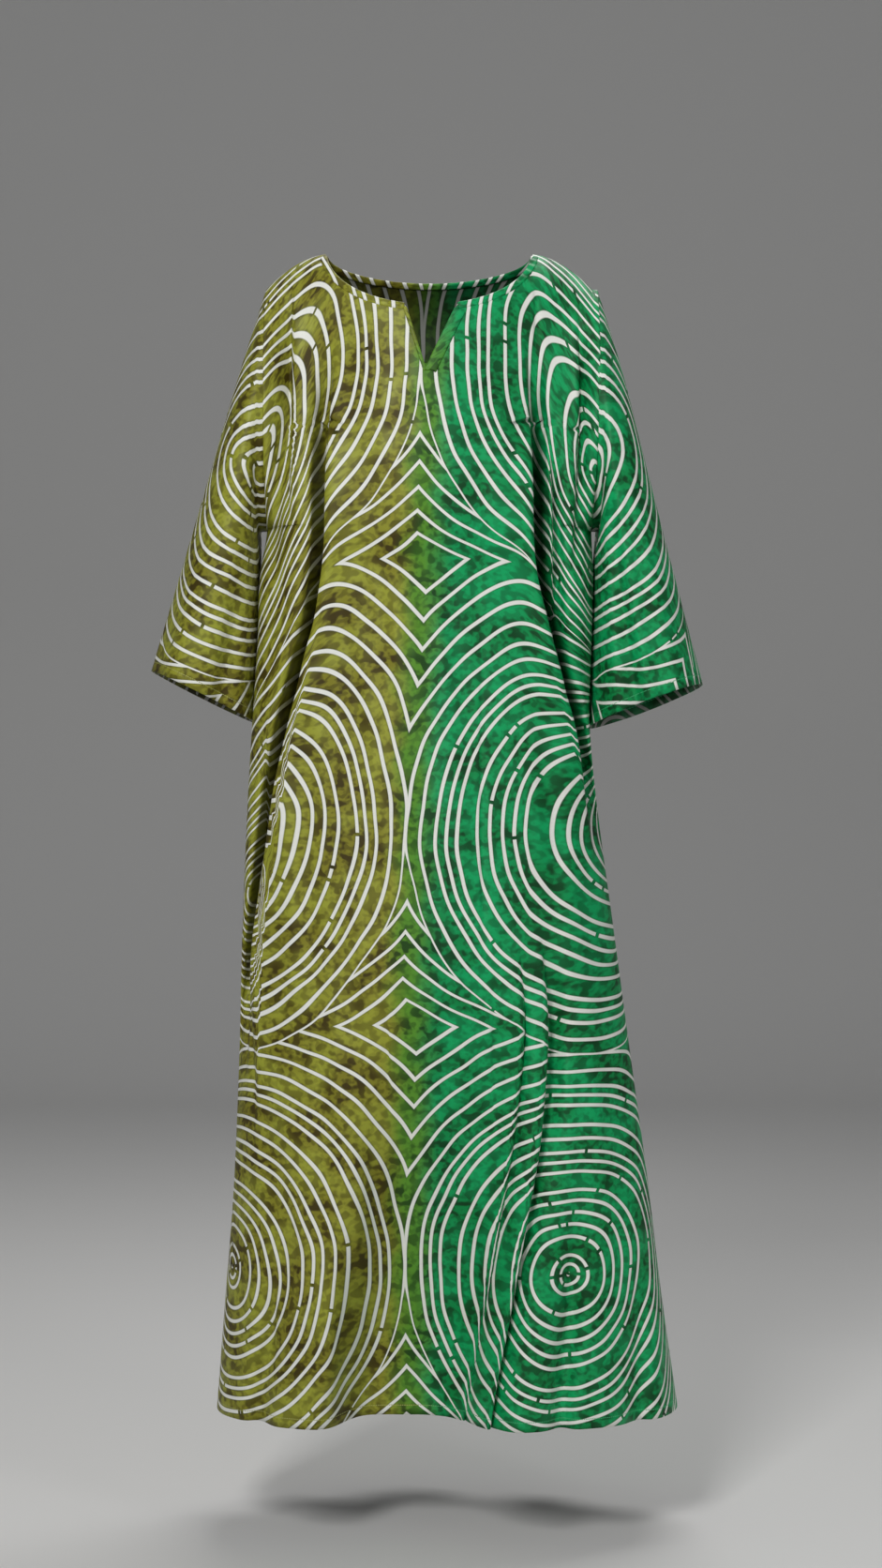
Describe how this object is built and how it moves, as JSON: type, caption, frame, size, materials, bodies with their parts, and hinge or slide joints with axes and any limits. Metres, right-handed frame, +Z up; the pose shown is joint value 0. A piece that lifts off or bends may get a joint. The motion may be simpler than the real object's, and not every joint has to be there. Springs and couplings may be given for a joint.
{
  "type": "kaftan",
  "caption": "Full-length loose kaftan of light printed cloth with wide three-quarter sleeves, a shallow scoop neck and a short front slit, hanging as worn.",
  "frame": {"origin": "midway between the two neck points of the shoulder seams, where the wearer's shoulders carry the gown", "axes": "+Z up along the gown's length, the front faces -Y, the wearer's left is +X"},
  "size_m": [0.6582, 0.3472, 1.3719],
  "materials": {
    "body_cloth": "light satin-finish cloth, olive on the wearer's right half and emerald on the left, with white resist-dye rings",
    "olive_cloth": "light satin-finish cloth, mottled olive with white resist-dye rings",
    "green_cloth": "light satin-finish cloth, mottled emerald with white resist-dye rings",
    "binding": "narrow bias binding of the same cloth"
  },
  "bodies": {
    "root": {"front_panel": "body_cloth", "back_panel": "body_cloth", "sleeve_right": "olive_cloth", "sleeve_left": "green_cloth", "neck_binding": "binding"}
  },
  "joints": []
}
